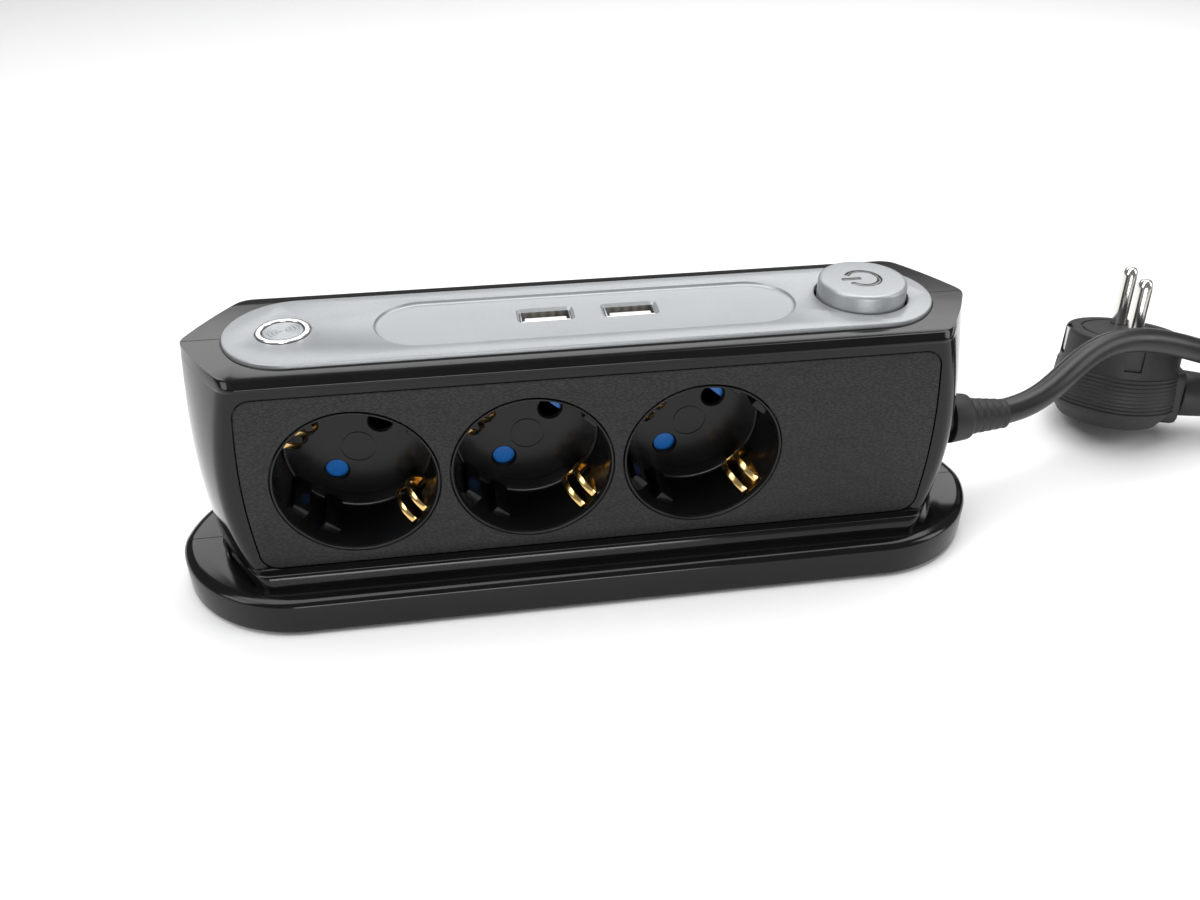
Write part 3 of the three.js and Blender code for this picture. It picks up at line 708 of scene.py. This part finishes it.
def bodyOutline(z, front, inset=0.0):  # flat sides, bowed end facets, softened corners
    s = housingSet
    swell, y = swellAt(z), front - inset
    slope = (s["tipX"] - s["cornerX"]) / s["lipY"]
    corner = s["cornerX"] + (s["lipY"] - front) * slope + s["cornerSwell"] * swell - inset * 0.5
    tip = s["tipX"] + s["tipSwell"] * swell - inset * 1.15
    bow = 0.7 + 0.5 * swell

    def facet(t):
        out = bow * 4 * t * (1 - t)
        return Vector((corner + (tip - corner) * t + out * 0.86, -y * (1 - t) - out * 0.5))

    quarter = bend(Vector((corner - 2.6, -y)), facet(0), facet(0.1), 7)
    quarter += [facet(0.1 + 0.8 * k / 14) for k in range(1, 14)]
    nose = bend(facet(0.9), Vector((tip, 0)), Vector((facet(0.9).x, -facet(0.9).y)), 8)
    right = quarter + nose + [Vector((p.x, -p.y)) for p in reversed(quarter)]
    return right + [-p for p in right]


def bodyLoft(levels, inset=0.0, name="body"):
    return loft(name, [[(p.x, p.y, z) for p in bodyOutline(z, front, inset)] for z, front in levels])


def skirtOutline(inset, steps=30):
    radius = 34 - inset
    reach = math.acos(3 / radius)
    quarter = [(78 + radius * math.sin(reach * i / steps), 3 - radius * math.cos(reach * i / steps))
               for i in range(steps + 1)]
    quarter[-1] = (quarter[-1][0] - 0.15, 0.0)
    right = quarter + [(x, -y) for x, y in reversed(quarter[:-1])]
    return right + [(-x, -y) for x, y in right]


def skirtLoft(levels):
    return loft("skirt", [[(x, y, z) for x, y in skirtOutline(inset)] for z, inset in levels])


def panelOutline(grow):
    half, low, high, radius = 86 + grow, 15.7 - grow, 65.6 + grow, 4 + grow
    points = []

    def corner(x, z, start):
        for i in range(9):
            angle = start + math.pi / 2 * i / 8
            points.append((x + radius * math.cos(angle), z + radius * math.sin(angle)))

    sides = [22 + 3 * i for i in range(13)]
    corner(half - radius, low + radius, -math.pi / 2)
    points.extend((half, z) for z in sides)
    corner(half - radius, high - radius, 0)
    corner(-half + radius, high - radius, math.pi / 2)
    points.extend((-half, z) for z in reversed(sides))
    corner(-half + radius, low + radius, math.pi)

    def swollen(x, z):
        share = eased((abs(x) - 60) / (half - 60))
        return (x + math.copysign(2.8 * swellAt(z) * share, x), z)

    return [swollen(x, z) for x, z in points]


def crescent(side):  # recess in the skirt round each end of the body
    points = []
    for start, control, end in (((90.5, -23.4), (97, -16.5), (101, -3)), ((101, -3), (101.7, 0), (101, 3)),
                                ((101, 3), (97, 16.5), (90.5, 23.4))):
        points += bend(Vector(start), Vector(control), Vector(end), 12)[:-1]
    return [(side * x, y) for x, y in points + [(90.5, 23.4), (84, 0)]]


def usbHole(x, grow, z0, z1, flare=0.0):  # rounded rectangle, flaring at the top
    def ring(more):
        half, deep = 7 + grow + more, 3.4 + grow + more
        return soften([(x - half, usbY - deep), (x + half, usbY - deep), (x + half, usbY + deep),
                       (x - half, usbY + deep)], 0.9 + more, 4, closed=True)
    levels = [(z0, 0.0), (z1 - flare, 0.0), (z1, flare), (z1 + 1, flare)] if flare else [(z0, 0.0), (z1, 0.0)]
    return loft("usbHole", [[(p.x, p.y, z) for p in ring(more)] for z, more in levels])


def makeHousing():
    s = housingSet
    face, gap = s["faceY"], s["gap"]
    profile = [(8.6, 25.3), (12.9, 25.2), (15.1, 24.4), (15.4, face), (68.2, face), (68.6, 23.2), (69.6, 23.4),
               (71.2, 21.6)]
    rounded = soften(profile, [0, 1.2, 0.7, 0.25, 0.25, 0.3, 0.7, 0], 4) + [Vector((71.2, 21.5))]
    levels = []
    for a, b in zip(rounded, rounded[1:]):
        pieces = 16 if (b - a).length > 20 else 1
        levels += [tuple(a.lerp(b, k / pieces)) for k in range(pieces)]
    topRound = [(71.02, 21.95), (71.2, 21.3)]
    body = bodyLoft([p for p in levels if p[0] < 70.99] + topRound)
    rim = [(1.0, 0.5), (1.5, 0), (9.2, 0), (9.9, 0.25), (10.5, 0.9), (10.95, 1.9), (11.1, 2.9)]
    shell = skirtLoft(rim)
    combine(shell, [upright(crescent(side), 8.1, 12.1) for side in (-1, 1)])
    combine(shell, [body], "UNION")
    cavity = bodyLoft([(z, face) for z in (-1, 5, 15, 27, 39, 51, 63, 67.8)], s["wall"], "cavity")
    combine(shell, [cavity, skirtLoft([(-1, s["wall"]), (6, s["wall"])])])
    seat = upright(stadium(90.8 + gap, 17.4 + gap, 48), 69.9, 80)
    combine(shell, [seat, disc(12.4, 60, 80, buttonX, 0, 96)] + [usbHole(x, 0, 60, 80) for x in usbPorts])
    depth = 1.2 + gap
    combine(shell, [facing(panelOutline(gap), -face - 1, -face + depth),
                    facing(panelOutline(gap), face - depth, face + 1)])
    combine(shell, [rod(20.9, -30, -10, x, socketZ, 96) for x in sockets])
    outlet = moved(disc(5.3, 90, 120, 0, 0, 40), Matrix.Rotation(math.pi / 2, 4, "Y"))
    combine(shell, [shifted(outlet, 0, 0, 30.6)])
    posts = [(-87, 26), (-87, 56), (87, 56), (82, 19.5)]
    for name, node, side in (("frontShell", "front_shell", -1), ("rearShell", "rear_shell", 1)):
        near = (-60, -s["seam"]) if side < 0 else (s["seam"], 60)
        half = combine(copied(shell, name), [box(-150, 150, *near, -5, 90)], "INTERSECT")
        reach = (-19.9, -0.15) if side < 0 else (0.15, 19.9)
        combine(half, [rod(3.6, *reach, x, z, 24) for x, z in posts], "UNION")
        bore = (1.5, -14, 1) if side < 0 else (1.8, -1, 30)
        combine(half, [rod(*bore, x, z, 20) for x, z in posts])
        settle(half, name, "glossBlack", (node,), angle=28)
    bpy.data.objects.remove(shell)


makeHousing()
print("housing made")


def makePanels():
    face = housingSet["faceY"]
    front = facing(panelOutline(0), -face, -face + 1.2)
    combine(front, [rod(20.9, -30, -10, x, socketZ, 96) for x in sockets])
    settle(bevel(front, 0.3, 3, 50), "frontPanel", "leatherBlack", ("front_panel",))
    rear = facing(panelOutline(0), face - 1.2, face)
    settle(bevel(rear, 0.3, 3, 50), "rearPanel", "leatherBlack", ("rear_panel",))


makePanels()


# ---- silver top plate, badge and button
def makeTopPlate():
    edge = [(70.2, 0), (71.7, 0), (71.95, 0.08), (72.13, 0.27), (72.2, 0.55)]
    plate = loft("plate", [[(x, y, z) for x, y in stadium(90.8 - inset, 17.4 - inset, 40)] for z, inset in edge])
    tray = [(71.2, -1.2), (71.24, -0.75), (71.36, -0.4), (71.6, -0.14), (71.9, 0), (72.08, 0.12), (72.2, 0.42),
            (73, 0.42)]
    combine(plate, [loft("tray", [[(x, y, z) for x, y in stadium(54 + grow, 12 + grow, 40)] for z, grow in tray])])
    hole = [(12.2, 60), (12.2, 71.8), (12.32, 72.08), (12.6, 72.2), (12.6, 80), (0, 80), (0, 60)]
    wells = [moved(lathe("hole", hole[-1:] + hole[:-1], 96), Matrix.Translation((buttonX, 0, 0))),
             moved(lathe("well", [(0, 71.4), (6.9, 71.4), (6.9, 72.1), (7.1, 72.2), (7.1, 80), (0, 80)], 72),
                   Matrix.Translation((badgeX, 0, 0)))]
    combine(plate, wells + [usbHole(x, -0.35, 60, 71.2, 0.75) for x in usbPorts])
    settle(plate, "topPlate", "satinSilver", ("top_plate",), angle=28)


def makeBadge():
    edge = soften([(5.2, 71.7), (6.6, 71.7), (6.6, 72.6), (5.2, 72.6)], 0.35, 4, closed=True)
    ring = lathe("badgeRing", [tuple(p) for p in edge], 96)
    settle(shifted(ring, badgeX, 0, 0), "badgeRing", "chrome", ("badge_ring",))
    face = [(0, 71.7), (4.9, 71.7), (4.9, 72.2), (4.6, 72.35)]
    for r in (3.9, 2.9, 1.9, 0.9):  # plain concentric steps
        face += [(r + 0.3, 72.35), (r + 0.1, 72.2), (r - 0.1, 72.2), (r - 0.3, 72.35)]
    disk = lathe("badgeDisc", face + [(0, 72.35)], 72)
    settle(shifted(disk, badgeX, 0, 0), "badgeDisc", "satinSilver", ("badge_disc",))


buttonSet = {"radius": 11.5, "topZ": 76.6, "ring": 4.8, "ringIn": 3.8, "opening": 0.55, "bar": (-5.6, -0.8, 0.5)}


def powerRing(grow, z0, z1):
    opening = buttonSet["opening"] - grow / 4
    outer, inner = buttonSet["ring"] + grow, buttonSet["ringIn"] - grow
    span = 2 * math.pi - 2 * opening
    turns = [opening + span * k / 60 for k in range(61)]
    outline = [(-outer * math.cos(a), outer * math.sin(a)) for a in turns]
    outline += [(-inner * math.cos(a), inner * math.sin(a)) for a in reversed(turns)]
    return moved(upright(outline, z0, z1), Matrix.Translation((buttonX, 0, 0)))


def powerBar(grow, z0, z1):
    low, high, half = buttonSet["bar"]
    return box(buttonX + low - grow, buttonX + high + grow, -half - grow, half + grow, z0, z1)


def makeButton():
    top, r = buttonSet["topZ"], buttonSet["radius"]
    profile = [(0, 74.2), (10.1, 74.2), (10.1, 66.6), (r, 66.6), (r, top - 1.1), (r - 0.12, top - 0.62),
               (r - 0.42, top - 0.24), (r - 0.85, top - 0.06), (r - 1.3, top), (0, top)]
    cap = moved(lathe("cap", profile, 128), Matrix.Translation((buttonX, 0, 0)))
    combine(cap, [powerRing(0.18, top - 0.55, 80)])
    combine(cap, [powerBar(0.18, top - 0.55, 80)])
    settle(cap, "buttonCap", "buttonSilver", ("button_cap",), "power_button")
    symbol = bevel(powerRing(0, top - 0.5, top + 0.06), 0.18, 3)
    settle(symbol, "buttonRing", "darkChrome", ("button_symbol_ring",), "power_button")
    bar = bevel(powerBar(0, top - 0.5, top + 0.06), 0.18, 3)
    settle(bar, "buttonBar", "darkChrome", ("button_symbol_bar",), "power_button")


makeTopPlate()
makeBadge()
makeButton()
print("top made")


# ---- return spring under the button
def makeSpring():
    def coil(start, given):
        turns = start.add("GeometryNodeCurveSpiral", None, {
            "Resolution": 28, "Rotations": given["Turns"], "Start Radius": given["Radius"],
            "End Radius": given["Radius"], "Height": given["Height"]})
        section = start.add("GeometryNodeCurvePrimitiveCircle", None, {"Resolution": 10, "Radius": given["Wire"]})
        return turns.add("GeometryNodeCurveToMesh", None,
                         {"Curve": turns, "Profile Curve": section, "Fill Caps": True})

    made = grow("spring", {"Turns": 7.0, "Radius": 3.95, "Height": 16.1, "Wire": 0.42}, coil, "springSteel")
    shifted(made, buttonX, 0, 56.8)
    settle(outward(made), "buttonSpring", "springSteel", ("button_spring",))
    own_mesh(made)


makeSpring()


# ---- sockets
cupSet = {"face": -21.85, "floor": -4.35, "bore": 19.7, "radius": 20.6, "pinSpread": 9.5, "pinHole": 2.9}


def atSocket(x):
    return Matrix.Translation((x, 0, socketZ)) @ Matrix.Rotation(-socketTurn, 4, "Y")


def turnedY(profile, steps=128):  # profile of (radius, y)
    return moved(lathe("turnedY", [(r, y) for r, y in profile], steps), Matrix.Rotation(-math.pi / 2, 4, "X"))


def makeCup():
    s = cupSet
    front, floor = s["face"], s["floor"]
    profile = [(0, floor), (19.3, floor), (s["bore"], front + 0.9), (20.1, front - 0.1), (20.6, front - 0.1),
               (20.6, -19.1), (21.7, -19.1), (21.7, -17.8), (20.6, -17.8), (20.6, floor + 1.2), (0, floor + 1.2)]
    cup = turnedY([tuple(p) for p in soften(profile, [0, 0.9, 0.5, 0.22, 0.22, 0, 0.2, 0.2, 0, 0.4, 0], 5)])
    ribs = []
    for end in (-1, 1):
        for low, high in ((-7.2, -2.4), (2.4, 7.2)):
            span = (-20.1, -16.9) if end < 0 else (16.9, 20.1)
            rib = box(*span, -17.2, floor + 0.5, low, high)
            combine(rib, [rod(20.15, -30, 0, 0, 0, 128)], "INTERSECT")
            ribs.append(bevel(rib, 0.45, 4, 50))
    combine(cup, ribs, "UNION")
    cuts = []
    for end in (-1, 1):
        hole = [(0, -30), (s["pinHole"] + 0.5, -30), (s["pinHole"] + 0.5, floor), (s["pinHole"], floor + 0.5),
                (s["pinHole"], 10), (0, 10)]
        cuts.append(moved(turnedY(hole, 48), Matrix.Translation((end * s["pinSpread"], 0, 0))))
        cuts.append(box(-3.3, 3.3, -20.4, floor - 0.8, -25 if end < 0 else 17, -17 if end < 0 else 25))
    for r in (4.4, 15.2):  # shallow moulded rings on the floor
        cuts.append(turnedY([(r - 0.25, floor - 1), (r - 0.25, floor + 0.2), (r + 0.25, floor + 0.2),
                             (r + 0.25, floor - 1)], 96))
    return combine(cup, cuts)


def ribbon(spine, thick, wide):  # a bent strip, its spine in (radius, y), its width along X
    rings = []
    for i, p in enumerate(spine):
        ahead = (spine[min(i + 1, len(spine) - 1)] - spine[max(i - 1, 0)]).normalized()
        side = Vector((ahead.y, -ahead.x)) * thick / 2
        ring = []
        for across, push in ((-1, -1), (1, -1), (1, 1), (-1, 1)):
            ring.append((across * wide / 2, p.y + side.y * push, p.x + side.x * push))
        rings.append(ring)
    return loft("ribbon", rings)


def makeClip():
    spine = [(21.3, 16.3), (21.3, -17.4), (20.9, -18.5), (19.8, -18.9), (18.3, -18.3), (16.3, -16.8), (14.7, -14.6),
             (14, -12.2), (14.6, -9.8), (16.4, -7.8), (18.4, -6.6)]
    smooth = [Vector((p.x, p.y)) for p in throughPoints([(r, y, 0) for r, y in spine], 0.7)]
    clip = combine(ribbon(smooth, 0.6, 6), [box(-1.4, 1.4, -19.6, -7.9, 12, 20.4)])  # two fingers
    bevel(clip, 0.16, 2, 50)
    lower = moved(copied(clip, "lower"), Matrix.Rotation(math.pi, 4, "Y"))
    combine(clip, [lower, box(-3, 3, 16, 16.6, -21.6, 21.6)], "UNION")
    return clip


def makeShutter():
    bar = facing(stadium(12.9, 3.4, 20), -2.85, -1.25)
    combine(bar, [rod(2.1, -10, 10, 0, 0, 40)])
    return bevel(bar, 0.3, 3, 50)


def makeSockets():
    cup, clip, shutter = makeCup(), makeClip(), makeShutter()
    for number, x in enumerate(sockets, 1):
        settle(moved(copied(cup, "cup"), atSocket(x)), f"socketCup{number}", "cupBlack",
               (f"socket_cup_{number}",), angle=28)
        settle(moved(copied(clip, "clip"), atSocket(x)), f"earthClip{number}", "goldBrass",
               (f"earth_clip_{number}",))
        settle(moved(copied(shutter, "shutter"), atSocket(x)), f"shutter{number}", "shutterBlue",
               (f"shutter_{number}",), f"shutter_{number}", angle=20)
    for piece in (cup, clip, shutter):
        bpy.data.objects.remove(piece)


makeSockets()
print("sockets made")


# ---- charging ports
usbSet = {"low": 58.6, "high": 70.8, "contacts": 4, "pitch": 2.4}


def makeUsb():
    low, high = usbSet["low"], usbSet["high"]
    for number, x in enumerate(usbPorts, 1):
        outer = box(x - 6.55, x + 6.55, usbY - 2.85, usbY + 2.85, low, high)
        bevel(outer, 0.5, 3)
        combine(outer, [box(x - 6.15, x + 6.15, usbY - 2.45, usbY + 2.45, low - 1, high + 1)])
        settle(outer, f"usbShell{number}", "springSteel", (f"usb_shell_{number}",))
        tongue = box(x - 5.4, x + 5.4, usbY - 2.15, usbY - 0.3, low + 1, high - 0.2)
        bevel(tongue, 0.3, 3)
        combine(tongue, [box(x - 5.8, x + 5.8, usbY - 2.15, usbY + 2.1, low, low + 1.8)], "UNION")
        settle(tongue, f"usbTongue{number}", "tonguePale", (f"usb_tongue_{number}",))

    def contacts(start, given):  # a row of flat contacts
        strip = start.add("GeometryNodeMeshCube", None, {"Size": start.add("ShaderNodeCombineXYZ", None, {
            "X": given["Width"], "Y": given["Thickness"], "Z": given["Height"]})})
        step = start.add("ShaderNodeCombineXYZ", None, {"X": given["Pitch"]})
        row = start.add("GeometryNodeMeshLine", None, {"Count": given["Count"], "Offset": step})
        both = start.add("GeometryNodeMeshLine", None, {"Count": 2, "Offset": start.add(
            "ShaderNodeCombineXYZ", None, {"X": given["Spacing"]})})
        rows = both.add("GeometryNodeInstanceOnPoints", None, {"Points": both, "Instance": row})
        spots = rows.add("GeometryNodeRealizeInstances", None, {"Geometry": rows})
        return spots.add("GeometryNodeInstanceOnPoints", None, {"Points": spots, "Instance": strip})

    made = grow("usbContacts", {"Width": 1.1, "Thickness": 0.12, "Height": 8.6, "Pitch": usbSet["pitch"],
                                "Spacing": usbPorts[1] - usbPorts[0], "Count": usbSet["contacts"]}, contacts,
                "goldBrass")
    shifted(made, usbPorts[0] - 1.5 * usbSet["pitch"], usbY - 0.26, 65.9)
    settle(made, "usbContacts", "goldBrass")


makeUsb()


# ---- feet and screws
def makeFeet():
    def feet(start, given):
        pad = start.add("GeometryNodeMeshCylinder", {"fill_type": "NGON"},
                        {"Vertices": 64, "Radius": given["Radius"], "Depth": given["Height"]})
        tread = start.add("GeometryNodeMeshCylinder", {"fill_type": "NGON"},
                          {"Vertices": 64, "Radius": given["Radius"] * 0.88, "Depth": given["Height"]})
        sunk = tread.add("GeometryNodeTransform", None, {"Geometry": tread, "Translation": tread.add(
            "ShaderNodeCombineXYZ", None, {"Z": 0.0 - given["Tread"]})})
        foot = pad.add("GeometryNodeMeshBoolean", {"operation": "UNION"}, {"Mesh 2": pad})
        foot.tree.links.new(sunk.socket, foot.socket.node.inputs["Mesh 2"])
        grid = start.add("GeometryNodeMeshGrid", None, {
            "Size X": given["Long"], "Size Y": given["Deep"], "Vertices X": 2, "Vertices Y": 2})
        return grid.add("GeometryNodeInstanceOnPoints", None, {"Points": grid, "Instance": foot})

    made = grow("feet", {"Radius": 6.0, "Height": 1.2, "Tread": 0.7, "Long": 160.0, "Deep": 36.0}, feet,
                "footRubber")
    shifted(made, 0, 0, 1.3)
    bevel(made, 0.15, 2, 50)
    settle(made, "feet", "footRubber", tuple(f"foot_{n}" for n in (1, 2, 3, 4)))


def makeCoverScrews():
    def screws(start, given):  # shallow heads with a cross recess
        head = start.add("GeometryNodeMeshCylinder", {"fill_type": "NGON"},
                         {"Vertices": 40, "Radius": given["Head"], "Depth": 0.8})
        shank = start.add("GeometryNodeMeshCylinder", {"fill_type": "NGON"},
                          {"Vertices": 24, "Radius": given["Shank"], "Depth": given["Length"]})
        raised = shank.add("GeometryNodeTransform", None, {"Geometry": shank, "Translation": shank.add(
            "ShaderNodeCombineXYZ", None, {"Z": given["Length"] * 0.5})})
        slot = start.add("GeometryNodeMeshCube", None, {"Size": start.add("ShaderNodeCombineXYZ", None, {
            "X": given["Head"] * 1.2, "Y": 0.7, "Z": 1.0})})
        lowered = slot.add("GeometryNodeTransform", None, {"Geometry": slot, "Translation": (0, 0, -0.6)})
        crossed = lowered.add("GeometryNodeTransform", None,
                              {"Geometry": lowered, "Rotation": (0, 0, math.pi / 2)})
        whole = head.add("GeometryNodeMeshBoolean", {"operation": "UNION"}, {"Mesh 2": head})
        whole.tree.links.new(raised.socket, whole.socket.node.inputs["Mesh 2"])
        cut = whole.add("GeometryNodeMeshBoolean", {"operation": "DIFFERENCE"},
                        {"Mesh 1": whole, "Mesh 2": lowered})
        cut.tree.links.new(crossed.socket, cut.socket.node.inputs["Mesh 2"])
        grid = start.add("GeometryNodeMeshGrid", None, {
            "Size X": given["Long"], "Size Y": given["Deep"], "Vertices X": 2, "Vertices Y": 2})
        return grid.add("GeometryNodeInstanceOnPoints", None, {"Points": grid, "Instance": cut})

    made = grow("coverScrews", {"Head": 2.9, "Shank": 1.45, "Length": 6.2, "Long": 120.0, "Deep": 48.0}, screws,
                "springSteel")
    shifted(made, 0, 0, 1.5)
    settle(made, "coverScrews", "springSteel", tuple(f"cover_screw_{n}" for n in (1, 2, 3, 4)))


makeFeet()
makeCoverScrews()

# ---- pieces kept as the frame gives them
keptFinishes = {
    "coverBlack": ["bottom_cover"],
    "springSteel": ["housing_screw_1", "housing_screw_2", "housing_screw_3", "housing_screw_4"],
    "ivory": ["socket_retainer_1", "socket_retainer_2", "socket_retainer_3", "button_plunger", "switch_body"],
    "goldBrass": ["live_rail", "neutral_rail", "earth_rail"],
    "boardGreen": ["usb_board"],
    "windingAmber": ["usb_transformer"],
    "sleeveBlue": ["usb_capacitor"],
}
for finish, names in keptFinishes.items():
    for name in names:
        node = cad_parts[name]
        node.data.materials.clear()
        node.data.materials.append(finishes[finish])
print("kept nodes painted")


# ---- floor and light
def addStage():
    floor = pieceFrom("floor", [(-3, -3, 0), (3, -3, 0), (3, 3, 0), (-3, 3, 0)], [(0, 1, 2, 3)])
    floor.data.materials.append(finishes["floorPale"])
    world = bpy.data.worlds.new("studio")
    bpy.context.scene.world = world
    world.use_nodes = True
    world.node_tree.nodes["Background"].inputs["Color"].default_value = (1, 1, 1, 1)
    world.node_tree.nodes["Background"].inputs["Strength"].default_value = 0.2
    lamps = {  # place, aim, width, depth, watts
        "overhead": ((0.0, 0.05, 0.8), (0.02, 0.0, 0.03), 1.5, 0.5, 9),
        "backBank": ((0.1, 0.9, 0.7), (0.0, 0.0, 0.05), 1.6, 0.35, 5),
        "leftBank": ((-0.9, -0.35, 0.55), (0.0, 0.0, 0.04), 0.4, 0.6, 3),
        "frontFill": ((-0.05, -1.2, 0.14), (0.0, 0.0, 0.045), 0.7, 0.2, 4.2),
        "rightBank": ((0.95, -0.3, 0.5), (0.0, 0.0, 0.04), 0.35, 0.6, 2.8),
    }
    for name, (place, aim, width, depth, watts) in lamps.items():
        lamp = bpy.data.objects.new(name, bpy.data.lights.new(name, "AREA"))
        lamp.data.shape, lamp.data.size, lamp.data.size_y, lamp.data.energy = "RECTANGLE", width, depth, watts
        lamp.location = place
        lamp.rotation_euler = (Vector(aim) - Vector(place)).to_track_quat("-Z", "Y").to_euler()
        bpy.context.scene.collection.objects.link(lamp)
    bpy.context.scene.view_settings.view_transform = "Standard"


addStage()
bpy.context.view_layer.update()


print("scene finished")
